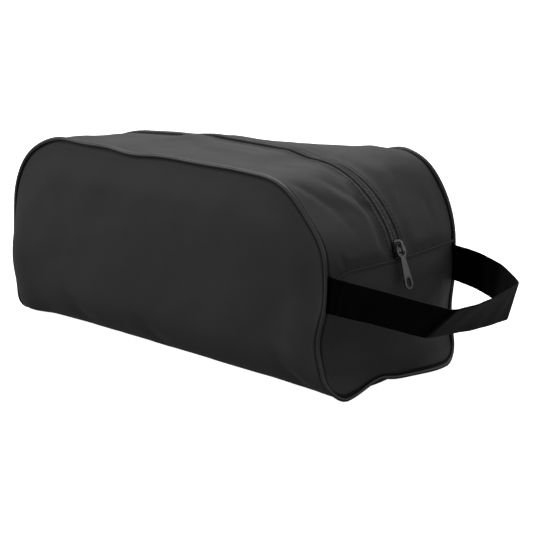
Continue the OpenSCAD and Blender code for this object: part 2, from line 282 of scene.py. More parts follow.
def sag_top(dz, x, y, z, front, back, high):
    """The top and its two strips, as changes to dz."""
    # the back of the top sags towards the left
    dz -= 14 * smooth((105 - x) / 190) * back * smooth((z - 60) / 90)
    # the crest along the zip stands up over the middle, and falls away at the left end
    crest = 3.6 * smooth((x + 42) / 36) * smooth((94 - x) / 28) - 6.0 * smooth((-35 - x) / 90)
    dz += crest * high * (1 - front) * (1 - back)
    # the back strip is low to the left of its middle
    dz -= 4.6 * bump(x, -66, 46) * smooth((y - 6) / 22) * high
    # along the back the cloth rolls over before it reaches the piping
    dz -= 4.5 * smooth((y - 48) / 24) * smooth((122 - x) / 30) * smooth((z - 110) / 40)
    # the back strip stands full near its right-hand corner
    dz += 4.6 * bump(x, 110, 33) * bump(y, 44, 22) * smooth((y - 6) / 14) * high
    # a hump of the front strip hides the zip for a short way
    dz += 3.2 * bump(x, -26, 17) * bump(y, -13, 9) * high
    # dips along the front top edge, and one low swell of it
    dips = -3.2 * bump(x, -30, 24) - 2.2 * bump(x, -84, 26) - 2.5 * bump(x, -132, 26)
    dz += dips * front * high
    dz += 0.8 * bump(x, 80, 26) * front * high


def round_corners(dx, dz, x, z, front, back):
    """The front right corner is a little flatter than a true arc, and the back one a little
    fuller, as changes to dx and dz."""
    corner = front * round_bump(x, z, (152, 136), 24)
    dx -= 2.4 * corner
    dz -= 3.4 * corner
    dz += 2.0 * back * round_bump(x, z, (140, 146), 22)
    dx -= 2.2 * back * smooth((x - 130) / 30) * bump(z, 108, 34)


# For each end: its side, how far it is drawn in at the front and at the back, and how far its
# bottom corners flare out.
END_PULLS = ((1, 7.5, 4.0, 7.5), (-1, -2.0, 3.0, 3.0))


def draw_ends(dx, dz, x, y, z):
    """The ends are drawn in low down at the front and back, and flare out at the bottom corners,
    as changes to dx and dz."""
    at_front, at_back = bump(y, -72, 34), bump(y, 72, 34)
    waist = bump(z, 42, 22)
    foot = smooth((20 - z) / 20)
    lobes = bump(y, -62, 26) + bump(y, 46, 26)
    arch = bump(y, -17, 17)
    low = smooth((40 - z) / 40)
    for side, pull_front, pull_back, flare in END_PULLS:
        near = smooth((side * x - 120) / 50)
        pull = waist * (pull_front * at_front + pull_back * at_back)
        dx += side * near * (flare * foot * lobes - pull)
        # between the corners the bottom edge of the end arches up off the ground
        edge = smooth((side * x - 167) / 3.0) * low
        dz += 5.4 * edge * arch
        dx += side * 2.5 * near * low * arch
    # at the left the front edge leans outwards
    dx -= 3.4 * smooth((-x - 120) / 50) * bump(z, 64, 44) * bump(y, -72, 40)
    # the right-hand cross seam is dragged down where it meets the strap
    dz -= 4.0 * smooth((-y - 50) / 18) * bump(z, SEAM_Z, 9) * smooth((x - 150) / 18)


# -------- meshes


def grid_normals(p):
    """Unit normals of a grid of points."""
    n = np.cross(np.gradient(p, axis=0), np.gradient(p, axis=1))
    return n / np.maximum(np.linalg.norm(n, axis=-1, keepdims=True), 1e-9)


def make_mesh(name, verts, faces, uvs=None):
    """A smooth-shaded object from points in millimetres. uvs holds one pair for each point."""
    mesh = bpy.data.meshes.new(name)
    mesh.from_pydata((np.asarray(verts) * MM).tolist(), [], [list(f) for f in faces])
    if uvs is not None:
        layer = mesh.uv_layers.new(name="UVMap")
        corners = np.zeros(len(mesh.loops), np.int32)
        mesh.loops.foreach_get("vertex_index", corners)
        layer.data.foreach_set("uv", (np.asarray(uvs) * MM)[corners].astype(np.float32).ravel())
    mesh.update()
    mesh.polygons.foreach_set("use_smooth", [True] * len(mesh.polygons))
    obj = bpy.data.objects.new(name, mesh)
    bpy.context.scene.collection.objects.link(obj)
    return obj


def grid_faces(rows, cols, flip, start=0):
    faces = []
    for i in range(rows - 1):
        for j in range(cols - 1):
            a, b = i * cols + j, (i + 1) * cols + j
            f = (a + start, b + start, b + 1 + start, a + 1 + start)
            faces.append(f[::-1] if flip else f)
    return faces


def tube_faces(rows, cols, closed=False, start=0):
    """Faces round rings of points. Unless the last ring joins the first, each end gets a cap."""
    faces = []
    for i in range(rows if closed else rows - 1):
        a, b = start + i * cols, start + ((i + 1) % rows) * cols
        for j in range(cols):
            k = (j + 1) % cols
            faces.append((a + j, a + k, b + k, b + j))
    if not closed:
        faces.append(tuple(start + j for j in range(cols))[::-1])
        faces.append(tuple(start + (rows - 1) * cols + j for j in range(cols)))
    return faces


def sheet(name, p, uv, flip, thickness=CLOTH_T):
    """A sheet of cloth from a grid of points. The thickness goes inwards."""
    rows, cols = p.shape[:2]
    obj = make_mesh(name, p.reshape(-1, 3), grid_faces(rows, cols, flip), uv.reshape(-1, 2))
    solid = obj.modifiers.new("thickness", "SOLIDIFY")
    solid.thickness = thickness * MM
    solid.offset = -1
    return obj


def ahead_along(path, closed):
    """The unit direction of travel at each point of a path."""
    if closed:
        return unit(np.roll(path, -1, axis=0) - np.roll(path, 1, axis=0))
    return unit(np.gradient(path, axis=0))


def tube(name, path, up, section, closed=False):
    """Sweeps a closed section of (side, up) pairs along a path."""
    ahead = ahead_along(path, closed)
    side = unit(np.cross(ahead, up))
    lift = np.cross(side, ahead)
    s = np.array(section)
    p = path[:, None] + side[:, None] * s[None, :, :1] + lift[:, None] * s[None, :, 1:]
    rows, cols = p.shape[:2]
    uv = grid_of(run_along(path)[:, None], np.arange(cols)[None] * 1.0)
    return make_mesh(name, p.reshape(-1, 3), tube_faces(rows, cols, closed), uv.reshape(-1, 2))


def round_section(rx, ry, count):
    a = np.arange(count) * 2 * math.pi / count
    return np.stack([rx * np.cos(a), ry * np.sin(a)], -1)


# The rings of a short rounded rod: how far along it each is, and its share of the full radius.
ROD_RINGS = ((0.0, 0.35), (0.18, 0.95), (0.5, 1.0), (0.82, 0.95), (1.0, 0.35))


def capsules(name, starts, ends, radius, lift=None, sides=6):
    """Many short rounded rods in one mesh, such as stitches. lift raises each one's middle."""
    verts, faces = [], []
    for n, (a, b) in enumerate(zip(starts, ends)):
        axis = unit(b - a)
        other = unit(np.cross(axis, [0.3, 0.5, 0.8]))
        third = np.cross(axis, other)
        rise = lift[n] if lift is not None else 0 * a
        faces += tube_faces(len(ROD_RINGS), sides, start=len(verts))
        for t, fat in ROD_RINGS:
            centre = a + (b - a) * t + rise * math.sin(math.pi * t)
            for k in range(sides):
                angle = 2 * math.pi * k / sides
                around = math.cos(angle) * other + math.sin(angle) * third
                verts.append(centre + radius * fat * around)
    return make_mesh(name, np.array(verts), faces)


# -------- materials

WAVE_REACH = 0.314  # the length of one wave of a wave texture whose scale is 1
MOTTLE = 0.12  # how much lighter and darker cloth is in places


def new_material(name):
    material = bpy.data.materials.new(name)
    material.use_nodes = True
    return material, material.node_tree, material.node_tree.nodes["Principled BSDF"].inputs


def add(tree, kind, **settings):
    """A new node. A setting is one of its properties, or else the value of one of its inputs."""
    node = tree.nodes.new(kind)
    for key, value in settings.items():
        if hasattr(node, key):
            setattr(node, key, value)
        else:
            node.inputs[key].default_value = value
    return node


def feed(tree, target, source):
    """Gives an input its source, which is an output or a plain value."""
    if isinstance(source, bpy.types.NodeSocket):
        tree.links.new(source, target)
    else:
        target.default_value = source


def noise(tree, scale, detail, roughness=0.5):
    """Noise that is fixed to the object."""
    place = add(tree, "ShaderNodeTexCoord")
    node = add(tree, "ShaderNodeTexNoise", Scale=scale, Detail=detail, Roughness=roughness)
    feed(tree, node.inputs["Vector"], place.outputs["Object"])
    return node.outputs["Fac"]


def ramp(tree, source, stops):
    """The colour at source, where stops are two pairs of a place and a colour."""
    node = add(tree, "ShaderNodeValToRGB")
    for element, (place, colour) in zip(node.color_ramp.elements, stops):
        element.position = place
        element.color = (*colour, 1)
    feed(tree, node.inputs["Fac"], source)
    return node.outputs["Color"]


def grey(value):
    return (value, value, value)


def times(colour, factor):
    return tuple(c * factor for c in colour)


def mix(tree, a, b, factor, kind="RGBA", blend="MIX"):
    """Two colours or numbers mixed. Each is an output or a plain value."""
    node = add(tree, "ShaderNodeMix", data_type=kind, blend_type=blend)
    for name, source in (("Factor", factor), ("A", a), ("B", b)):
        feed(tree, node.inputs[name], source)
    return node.outputs["Result"]


def sums(tree, operation, *values):
    """The result of an operation on outputs or plain numbers."""
    node = add(tree, "ShaderNodeMath", operation=operation)
    for place, value in enumerate(values):
        feed(tree, node.inputs[place], value)
    return node.outputs["Value"]


def vary_roughness(tree, inputs, source, low, high):
    rough = add(tree, "ShaderNodeMapRange")
    for name, value in (("Value", source), ("To Min", low), ("To Max", high)):
        feed(tree, rough.inputs[name], value)
    feed(tree, inputs["Roughness"], rough.outputs["Result"])


def relief(tree, inputs, height, strength, depth):
    """Bumps from a height. depth is in millimetres."""
    node = add(tree, "ShaderNodeBump", Strength=strength, Distance=depth * MM)
    feed(tree, node.inputs["Height"], height)
    feed(tree, inputs["Normal"], node.outputs["Normal"])


def weave_of(tree, pitch):
    """Warp and weft: two waves over the UV map, which is in metres."""
    uv = add(tree, "ShaderNodeUVMap", uv_map="UVMap")
    threads = []
    for direction in ("X", "Y"):
        scale = WAVE_REACH / pitch / MM
        wave = add(tree, "ShaderNodeTexWave", bands_direction=direction, Scale=scale)
        feed(tree, wave.inputs["Vector"], uv.outputs["UV"])
        threads.append(wave.outputs["Fac"])
    return sums(tree, "MULTIPLY", *threads)


def painted_groove_shade(tree):
    """1 in the open, and darker in the grooves and beside the piping: painted shade, from ambient
    occlusion.
    """
    shade = add(tree, "ShaderNodeAmbientOcclusion", samples=8)
    shade.inputs["Distance"].default_value = 4 * MM
    return sums(tree, "POWER", shade.outputs["AO"], 2.4)


def painted_grazing_sheen(tree, colour, painted_sheen_grey):
    """The colour, turning to a given grey where the cloth is seen from the side: a painted sheen.
    """
    facing = add(tree, "ShaderNodeLayerWeight", Blend=0.5)
    edge_on = ramp(tree, facing.outputs["Facing"], [(0.40, grey(0.0)), (0.80, grey(1.0))])
    return mix(tree, colour, (*grey(painted_sheen_grey), 1), edge_on)


def woven(name, colour, pitch, contrast, bumps, roughness, sheen=0.0, specular=0.35, painted_sheen_grey=0.0):
    """Woven cloth. A slow noise varies its colour and roughness, and the weave and a fine noise
    stand out in relief. Its colour carries painted shade in the grooves, and a glossy weave gets
    a painted sheen: a grey colour where it is seen from the side."""
    material, tree, inputs = new_material(name)
    weave = weave_of(tree, pitch)
    slow = noise(tree, 26.0, 4.0, 0.6)
    fine = noise(tree, 420.0, 3.0, 0.7)
    dark, light = (*times(colour, 1 - MOTTLE), 1), (*times(colour, 1 + MOTTLE), 1)
    thread_tone = ramp(tree, weave, [(0.0, grey(1 - contrast)), (1.0, grey(1.0))])
    cloth = mix(tree, mix(tree, dark, light, slow), thread_tone, 1.0, blend="MULTIPLY")
    # painted shade: the cloth's colour is darkened in the grooves
    cloth = mix(tree, cloth, painted_groove_shade(tree), 1.0, blend="MULTIPLY")
    # painted sheen: a glossy weave's colour turns grey where it is seen edge on
    feed(tree, inputs["Base Color"], painted_grazing_sheen(tree, cloth, painted_sheen_grey) if painted_sheen_grey else cloth)
    vary_roughness(tree, inputs, slow, roughness - 0.08, roughness + 0.08)
    relief(tree, inputs, sums(tree, "MULTIPLY_ADD", fine, 0.5, weave), bumps, 0.12)
    inputs["Sheen Weight"].default_value = sheen
    inputs["Sheen Roughness"].default_value = 0.45
    inputs["Specular IOR Level"].default_value = specular
    return material


def worn_metal(name, colour, roughness):
    """Dark plated die-casting: brushed, and a little brighter where noise has rubbed it."""
    material, tree, inputs = new_material(name)
    rub = noise(tree, 900.0, 5.0)
    feed(tree, inputs["Base Color"], ramp(tree, rub, [(0.35, colour), (0.7, times(colour, 1.5))]))
    vary_roughness(tree, inputs, rub, roughness - 0.1, roughness + 0.12)
    relief(tree, inputs, rub, 0.15, 0.05)
    inputs["Metallic"].default_value = 1.0
    return material


def nylon(name, colour, roughness):
    """Nylon, moulded or spun, with a faint mottle."""
    material, tree, inputs = new_material(name)
    grain = noise(tree, 700.0, 2.0)
    tint = ramp(tree, grain, [(0.3, times(colour, 0.8)), (0.7, times(colour, 1.2))])
    feed(tree, inputs["Base Color"], tint)
    vary_roughness(tree, inputs, grain, roughness - 0.06, roughness + 0.06)
    return material


# A pitch is the millimetres from one thread to the next.
CLOTH = woven("coated_polyester", (0.028, 0.028, 0.029), pitch=0.55, contrast=0.18, bumps=0.35,
              roughness=0.62, sheen=0.08)
PIPING = woven("piping_cloth", (0.014, 0.014, 0.014), pitch=0.5, contrast=0.12, bumps=0.15,
               roughness=0.34, specular=0.7)
# the webbing gets a painted sheen: its colour turns a dark grey where it is seen from the side
WEBBING = woven("satin_webbing", (0.0012, 0.0012, 0.0013), pitch=0.9, contrast=0.35, bumps=0.5,
                roughness=0.5, specular=0.02, painted_sheen_grey=0.02)
TAPE = woven("zip_tape_twill", (0.020, 0.020, 0.022), pitch=0.6, contrast=0.3, bumps=0.5,
             roughness=0.7, sheen=0.05)
BINDING = woven("binding_tape", (0.018, 0.018, 0.018), pitch=0.8, contrast=0.3, bumps=0.5,
                roughness=0.75, sheen=0.05)
THREAD = nylon("black_thread", (0.030, 0.030, 0.031), 0.55)
# near black: the sewn line beside the piping, darkened to stand as the groove's painted shadow
SEAM_SHADOW = nylon("sunken_seam_painted_shadow", (0.002, 0.002, 0.002), 0.8)
COIL = nylon("coil_nylon", (0.060, 0.060, 0.062), 0.38)
CORD = nylon("hidden_cord", (0.30, 0.30, 0.29), 0.7)
METAL = worn_metal("gunmetal", (0.11, 0.11, 0.114), 0.40)


def finish_piece(obj, material, body, slot, *nodes):
    """Gives a piece its material and body, and hides the CAD nodes that it stands for. A piece that
    is given no body here is left unattached."""
    obj.data.materials.append(material)
    if body:
        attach(obj, body)
    if nodes:
        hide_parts(*nodes)


# -------- the fall of the cloth

# The whole shell is simulated once as a coarse closed mesh: it is slightly too large for its seams,
# held at the piping and along the zip, and blown up a little. What the simulation moves each point
# by is then read off smoothly for the fine panels.

SIM_CORNER, SIM_TOP, SIM_DOWN, SIM_BEND, SIM_BASE = 16, 40, 26, 5, 20  # steps of the grids
SIM_FRAMES = 20
SIM_CAP = 3.0  # the furthest, in millimetres, that a point may move
SIM_SOFT = {"body": 40, "top": 10, "right": 6, "left": 6}  # rounds of averaging
SIM_FLIP = {"body": False, "top": True, "right": True, "left": False}

SIM_W = joined(even(0, 1, SIM_CORNER), even(1, 2, SIM_TOP), even(2, 3, SIM_CORNER))
SIM_UNDER = joined(even(1, 2, SIM_BEND), even(2, 3, SIM_BASE), even(3, 4, SIM_BEND))
SIM_G = joined(even(0, 1, SIM_DOWN), SIM_UNDER, even(4, 5, SIM_DOWN))
SIM_Y = body_form(0.0, SIM_UNDER)[:, 1]
SIM_Q = even(0, 1, SIM_DOWN)

# A negative shrink is cloth that is slightly too large.
CLOTH_SETTINGS = dict(
    quality=6, mass=0.15, tension_stiffness=12, compression_stiffness=12, shear_stiffness=6,
    bending_stiffness=0.6, vertex_group_mass="pins", shrink_min=-0.006, shrink_max=-0.006,
    use_pressure=True, uniform_pressure_force=3.0,
)


def sim_grids():
    """The coarse grids of the body, the top and the two ends."""
    return {
        "body": body_form(SIM_W[:, None], SIM_G[None, :]),
        "top": top_form(SIM_W[:, None], SIM_Y[None, :]),
        "right": end_form(SIM_Y[:, None], SIM_Q[None, :], 1),
        "left": end_form(SIM_Y[:, None], SIM_Q[None, :], -1),
    }


def closed_shell(grids):
    """The grids as one mesh, with points that share a place merged. Gives its points on the ideal
    form and draped, its faces, and the number in it of each grid point."""
    ideal = np.concatenate([p.reshape(-1, 3) for p in grids.values()])
    keys = np.round(ideal * 4).astype(int)
    _, first, back = np.unique(keys, axis=0, return_index=True, return_inverse=True)
    back = back.ravel()
    faces, offset = [], 0
    for name, p in grids.items():
        rows, cols = p.shape[:2]
        for f in grid_faces(rows, cols, SIM_FLIP[name], start=offset):
            corners = [int(back[v]) for v in f]
            if len(set(corners)) == 4:
                faces.append(corners)
        offset += rows * cols
    return ideal[first], drape(ideal)[first], faces, back


def pin_weight(p):
    """How firmly the simulation holds a point of the ideal form. The rims and the zip are held
    fast, the base almost so, and the cross seams less."""
    x, y, z = p
    rim = abs(abs(y) - LINE_Y) < 0.01 and body_inset(x, z) < 0.6
    bottom_rim = abs(abs(x) - LINE_X) < 0.01 and abs(z - end_foot(y)) < 0.6
    on_zip = abs(y) < 9 and z > SEAM_Z - 1
    if rim or bottom_rim or on_zip:
        return 1.0
    if z < LOW_Z + 1:
        return 0.9
    if abs(z - SEAM_Z) < 1 and abs(x) > CORNER_X + 2:
        return 0.6
    return 0.0


def settle(obj, count):
    """Simulates an object's mesh as cloth, and gives its points, in millimetres, at the end."""
    cloth = obj.modifiers.new("cloth", "CLOTH")
    for key, value in CLOTH_SETTINGS.items():
        setattr(cloth.settings, key, value)
    cloth.settings.effector_weights.gravity = 0.15
    cloth.collision_settings.use_collision = False
    cloth.point_cache.frame_start = 1
    cloth.point_cache.frame_end = SIM_FRAMES
    scene = bpy.context.scene
    for number in range(1, SIM_FRAMES + 1):
        scene.frame_set(number)
    settled = obj.evaluated_get(bpy.context.evaluated_depsgraph_get()).to_mesh()
    end = np.zeros(count * 3)
    settled.vertices.foreach_get("co", end)
    scene.frame_set(1)
    return end.reshape(-1, 3) / MM


def simulate():
    """How far the cloth moves, in millimetres, at each point of the coarse grids."""
    grids = sim_grids()
    ideal, start, faces, back = closed_shell(grids)
    obj = make_mesh("shell_in_simulation", start, faces)
    pins = obj.vertex_groups.new(name="pins")
    for n, p in enumerate(ideal):
        weight = pin_weight(p)
        if weight:
            pins.add([n], weight, "REPLACE")
    move = settle(obj, len(start)) - start
    bpy.data.objects.remove(obj)
    size = np.linalg.norm(move, axis=1, keepdims=True)
    print("simulated shell moved at most", round(float(size.max()), 2), "mm")
    move *= np.tanh(size / SIM_CAP) * SIM_CAP / np.maximum(size, 1e-6)
    moves, offset = {}, 0
    for name, p in grids.items():
        count = p.shape[0] * p.shape[1]
        moves[name] = softened(move[back[offset:offset + count]].reshape(p.shape), SIM_SOFT[name])
        offset += count
    return moves


def softened(values, rounds):
    """A grid of values, averaged with its neighbours a number of times. Its rim stays put."""
    for _ in range(rounds):
        inner = values[1:-1, 1:-1] * 2 + values[:-2, 1:-1] + values[2:, 1:-1]
        inner = inner + values[1:-1, :-2] + values[1:-1, 2:]
        values = values.copy()
        values[1:-1, 1:-1] = inner / 6
    return values


def between(values, places):
    """Values at fractional places along their first axis, by smooth (Catmull-Rom) curves."""
    last = len(values) - 1
    places = np.clip(np.asarray(places, float), 0, last)
    i = np.minimum(places.astype(int), last - 1)
    t = (places - i)[:, None, None]
    a, b, c, d = (values[np.clip(i + k, 0, last)] for k in (-1, 0, 1, 2))
    return b + 0.5 * t * (c - a + t * (2 * a - 5 * b + 4 * c - d + t * (3 * (b - c) + d - a)))


def read_off(moves, rows, cols):
    """Values of a coarse grid at fractional rows and columns."""
    return between(between(moves, rows).transpose(1, 0, 2), cols).transpose(1, 0, 2)


def fall(name, a, b):
    """How the simulation moves the points of a panel at parameters a (rows) and b (columns)."""
    across, down = {"body": (SIM_W, SIM_G), "top": (SIM_W, SIM_Y)}.get(name, (SIM_Y, SIM_Q))
    rows = np.interp(a, across, np.arange(len(across)))
    cols = np.interp(b, down, np.arange(len(down)))
    return read_off(MOVES[name], rows, cols)


# -------- the body panel

def seam_dip(away, depth=1.8):
    """Depth of the narrow groove beside the piping, at a distance of away from its line."""
    return depth * bump(away, 2.1, 0.9)


# Soft folds of the front: both ends of each, how wide and how deep it is. One of negative depth
# stands out.
FRONT_FOLDS = (
    ((-114, -72, 34), (-80, -70, 7), 7, 1.8),
    ((-26, -72, 28), (4, -70, 7), 6, 1.5),
    ((118, -72, 27), (148, -68, 7), 6, 2.2),
    ((126, -72, 40), (156, -68, 12), 7, -0.9),
    ((150, -72, 100), (166, -72, 60), 10, 1.6),
)


def body_swell(ideal):
    """How far the body's cloth stands out from its draped form."""
    x, y, z = ideal[..., 0], ideal[..., 1], ideal[..., 2]
    front = y < 0
    inset = body_inset(x, z)
    room = smooth(inset / 34)
    upright = smooth((z - 8) / 24)
    swell = 3.6 * room * upright
    swell += 0.7 * waves(x, z + y, 5, 120) * room * upright
    swell += 0.2 * waves(x, z + y, 9, 38) * room
    swell -= seam_dip(inset, 1.2)
    # on the left the front billows out past the piping
    billow = np.exp(-(((x + 160) / 14) ** 2 + ((z - 52) / 42) ** 2)) * smooth(inset / 5)
    swell += np.where(front, 6.5 * billow, 0)
    # the strap's sewn end draws the cloth in beside the right-hand seam
    hollow = np.exp(-(((x - 130) / 26) ** 2 + ((z - 62) / 34) ** 2)) * smooth(inset / 8)
    swell -= np.where(front, 3.4 * hollow, 0)
    for start, end, width, depth in FRONT_FOLDS:
        fold = crease(ideal, start, end, width) * smooth(inset / 6)
        swell -= np.where(front, depth * fold, 0)
    return swell


def body_panel():
    """One cloth down the front, over the base and up the back."""
    w = joined(even(0, 1, 44), even(1, 2, 84), even(2, 3, 44))
    down = dense_start(0, 1, 56)
    g = joined(down, even(1, 2, 16), even(2, 3, 34), even(3, 4, 16), 5 - down[::-1])
    ideal = body_form(w[:, None], g[None, :])
    p = drape(ideal)
    n = grid_normals(p)
    on_front = len(w) // 2, 20
    n *= np.sign(n[on_front] @ (ideal[on_front] - MIDDLE))
    p = p + n * body_swell(ideal)[..., None] + fall("body", w, g)
    # the base rests on the ground
    p[..., 2] = np.maximum(p[..., 2], CLOTH_T * 0.5)
    uv = grid_of(ideal[..., 0], run_along(ideal[70])[None])
    finish_piece(sheet("body_panel_cloth", p, uv, False), CLOTH, "bag", "cloth", "body_panel")


# -------- the top strips

# Soft folds of the two top strips, front (-1) and back (1): place along the top and distance from
# the zip of both ends, in hundredths of w and in millimetres, then how wide and how deep each is.
TOP_FOLDS = {
    -1: (
        ((80, 39), (30, 7), 4.0, 1.5),
        ((108, 40), (54, 9), 4.0, -1.1),
        ((80, 64), (44, 41), 3.5, 1.4),
        ((54, 43), (24, 37), 4.0, 0.9),
        ((66, 41), (26, 15), 4.0, -0.9),
        ((13, 58), (2, 53), 2.6, 1.3),
        ((152, 27), (94, 35), 5.0, -0.8),
        ((170, 18), (130, 44), 6.0, 0.9),
        ((122, 44), (100, 60), 6.0, 0.8),
    ),
    1: (
        ((58, 36), (25, 17), 3.0, 0.8),
        ((40, 50), (15, 46), 3.0, 0.8),
        ((74, 20), (44, 30), 6.0, -0.6),
        ((150, 30), (110, 46), 8.0, 0.8),
    ),
}


def puckers(w, across, side):
    """The lifted folded edge along the zip, gathered by its stitches, and the valley beside it."""
    by_zip = bump(across, EDGE + 1.2, 3.0)
    corner = smooth(w / 0.12) * smooth((1.5 - w) / 0.8)
    ripple = np.sin(w * 34) * 0.5 + np.sin(w * 61 + 1.3) * 0.3
    if side < 0:
        lifted = (1.1 + 0.4 * ripple) * by_zip * (0.35 + 0.65 * corner)
        valley = -1.5 * bump(across, EDGE + 8.4, 4.0) * corner
        return lifted + valley
    return (0.35 + 0.2 * ripple) * by_zip - 0.5 * bump(across, EDGE + 7.4, 5.0) * corner


def top_swell(along, across, side):
    """How far a top strip stands out from its draped form at places along and across it."""
    away = LINE_Y - across
    room = smooth(away / 22) * smooth(along / 0.10) * smooth((3 - along) / 0.10)
    flat_by_zip = smooth((across - EDGE) / 16)
    swell = 1.8 * room * flat_by_zip
    swell += 0.25 * waves(100 * along, across, 21 + side, 74) * room * (0.2 + 0.8 * flat_by_zip)
    swell += 0.2 * waves(100 * along, across, 31 + side, 26) * room * flat_by_zip
    swell += puckers(along, across, side) * room
    place = np.stack([100 * along, across], -1)
    for start, end, width, depth in TOP_FOLDS[side]:
        swell -= depth * crease(place, start, end, width) * smooth(away / 8)
    return swell - seam_dip(away)


def top_cloth(w, y, side):
    """Points and outward normals of a top strip's surface at places w and distances y."""
    p = drape(top_form(w[:, None], side * y[None, :]))
    n = grid_normals(p)
    outwards = np.sign(n[..., 2].mean())
    swell = top_swell(w[:, None] + 0 * y[None, :], y[None, :] + 0 * w[:, None], side)
    p = p + outwards * n * swell[..., None] + fall("top", w, side * y)
    return p, outwards * grid_normals(p)


def turned_under(p, up):
    """Further columns of points, where the cloth's last edge rolls under and back."""
    rim = p[:, -1]
    onwards = unit(p[:, -1] - p[:, -2])
    columns = []
    for a in np.linspace(0, math.pi, 7)[1:]:
        columns.append(rim + FOLD_R * (math.sin(a) * onwards + (math.cos(a) - 1) * up))
    columns.append(rim - 2.5 * onwards - 2 * FOLD_R * up)
    return np.stack(columns, 1)


def top_strip(name, side, node):
    """A top strip: from the piping to its folded edge along the zip, where it turns under."""
    w = joined(even(0, 1, 84), even(1, 2, 120), even(2, 3, 84))
    p, n = top_cloth(w, dense_ends(LINE_Y, EDGE, 52), side)
    p = np.concatenate([p, turned_under(p, n[:, -1])], 1)
    uv = grid_of(run_along(p[:, 20])[:, None], run_along(p[100])[None])
    finish_piece(sheet(name, p, uv, side < 0), CLOTH, "bag", "cloth", node)
    w = joined(even(0.02, 1, 200), even(1, 2, 240), even(2, 2.98, 200))
    p, n = top_cloth(w, np.array([EDGE + 3.4, EDGE + 2.4, EDGE + 1.4]), side)
    stitches(name + "_stitches", p[:, 1], n[:, 1])


STITCH = 2.6  # length of a stitch
STITCH_GAP = 1.0
STITCH_R = 0.24


def stitches(name, path, up):
    """A row of stitches along a line that lies on cloth."""
    run = run_along(path)
    begin = np.arange(1.0, run[-1] - STITCH - 1, STITCH + STITCH_GAP)

    def at(places, values):
        return np.stack([np.interp(places, run, values[:, k]) for k in range(3)], -1)

    on_cloth = path + 0.08 * up
    ends = at(begin + STITCH, on_cloth)
    obj = capsules(name, at(begin, on_cloth), ends, STITCH_R, at(begin, 0.12 * up))
    finish_piece(obj, THREAD, "bag", "cloth")


# -------- the end panels


def end_swell(y, z, side):
    """How far an end panel's cloth stands out from its draped form."""
    above_foot = z - end_foot(y)
    inside = LINE_Y - np.abs(y)
    room = smooth(inside / 26) * smooth(above_foot / 24) * smooth((SEAM_Z - z) / 22)
    swell = 3.0 * room
    swell += 0.8 * waves(y, z, 41 + side, 70) * room
    swell += 0.25 * waves(y, z, 51 + side, 24) * room
    # a hollow low down, towards the front
    swell -= 2.4 * room * round_bump(y, z, (-34, 34), 20)
    return swell - seam_dip(np.minimum(inside, above_foot))


def end_panel(name, side, node, panel):
    y = dense_ends(-LINE_Y, LINE_Y, 76)
    q = dense_ends(0, 1, 60, 0.08)
    ideal = end_form(y[:, None], q[None, :], side)
    across, z = ideal[..., 1], ideal[..., 2]
    p = drape(ideal)
    p[..., 0] += side * end_swell(across, z, side)
    p += fall(panel, y, q)
    obj = sheet(name, p, grid_of(across, SEAM_Z - z), side > 0)
    finish_piece(obj, CLOTH, "bag", "cloth", node)


# -------- piping, seams and bindings

LEG_STEPS = int((SEAM_Z - END_BEND) / 2.0)  # down an end's side edge, about 2 mm apart
THREAD_AWAY = 1.95  # how far the near-black sewn line beside the piping, a painted shadow of its groove, is from the piping's middle
THREAD_SUNK = 0.6  # and how deep it lies
THREAD_R = 0.42


def seam_leg(side_y, side_x):
    """Down an end's side edge and round its bottom corner to the middle of the bottom."""
    z = np.linspace(SEAM_Z, LOW_Z + END_BEND, LEG_STEPS)
    a = np.linspace(0, math.pi / 2, 12)[1:]
    along_bottom = np.linspace(LINE_Y - END_BEND, 0, 28)[1:]
    y = np.concatenate([LINE_Y + 0 * z, LINE_Y - END_BEND + END_BEND * np.cos(a), along_bottom])
    z = np.concatenate([z, LOW_Z + END_BEND - END_BEND * np.sin(a), LOW_Z + 0 * along_bottom])
    return np.stack([side_x * LINE_X + 0 * y, side_y * y, z], -1)


def seam_arch(side_y):
    """From right to left over the top, along the front or the back."""
    w = joined(np.linspace(0, 1, 50), np.linspace(1, 2, 110), np.linspace(2, 3, 50))
    x, z, _, _ = side_profile(w)
    return np.stack([x, side_y * LINE_Y + 0 * x, z], -1)


def seam_line():
    """The closed line of the piping on the ideal form: over the top at the front, under the left
    end, over the top at the back, and under the right end."""
    return np.concatenate([
        seam_arch(-1)[:-1], seam_leg(-1, -1), seam_leg(1, -1)[::-1][1:-1],
        seam_arch(1)[::-1][:-1], seam_leg(1, 1), seam_leg(-1, 1)[::-1][1:-1],
    ])


def low_turn(z):
    """1 at the bottom of the seam line, 0 where the bottom corners begin and negative above."""
    return (LOW_Z + END_BEND - z) / END_BEND


def outward(p):
    """A direction away from the bag's middle line at ideal points p."""
    x, y, z = p[:, 0], p[:, 1], p[:, 2]
    out_x = np.where(np.abs(x) > CORNER_X, x - np.sign(x) * CORNER_X, 0) / TOP_R
    out_z = np.where(z > SEAM_Z, (z - SEAM_Z) / TOP_R, 0) - smooth(low_turn(z))
    return unit(np.stack([out_x, y / LINE_Y, out_z], -1))


